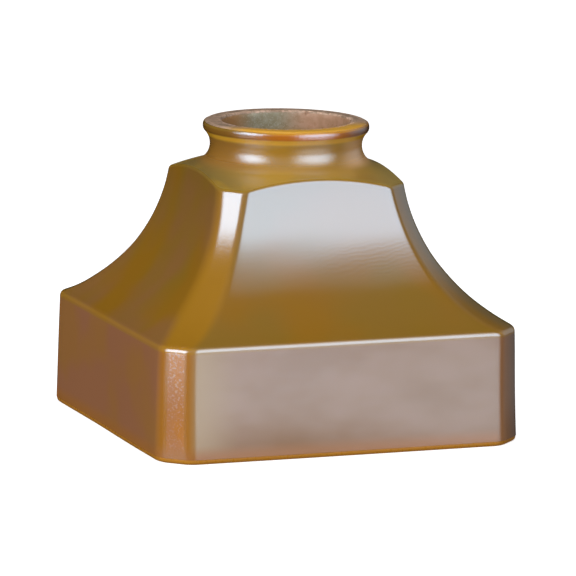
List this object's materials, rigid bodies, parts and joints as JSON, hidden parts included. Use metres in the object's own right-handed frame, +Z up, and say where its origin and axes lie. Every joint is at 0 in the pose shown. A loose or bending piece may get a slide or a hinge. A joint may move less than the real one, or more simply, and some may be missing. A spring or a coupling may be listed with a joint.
{
  "type": "glass lamp shade",
  "caption": "Square flared art-glass lamp shade with cut corners, a straight skirt and a round rolled fitter lip.",
  "frame": {"origin": "centre of the base, on the plane the open skirt stands on", "axes": "+Z up through the neck; the flat sides face X and Y, the cut corners the diagonals"},
  "size_m": [0.128, 0.128, 0.1036],
  "materials": {
    "amber_glass": "translucent amber glass, fire polished",
    "rim_glass": "translucent amber glass with a rough ground top rim",
    "lustre": "satin iridescent lustre, gold-brown with a pale lilac sheen"
  },
  "bodies": {
    "root": {"skirt": "amber_glass", "flared_body": "amber_glass", "shoulder": "amber_glass", "neck": "amber_glass", "fitter_lip": "rim_glass", "lustre_film": "lustre"}
  },
  "joints": []
}
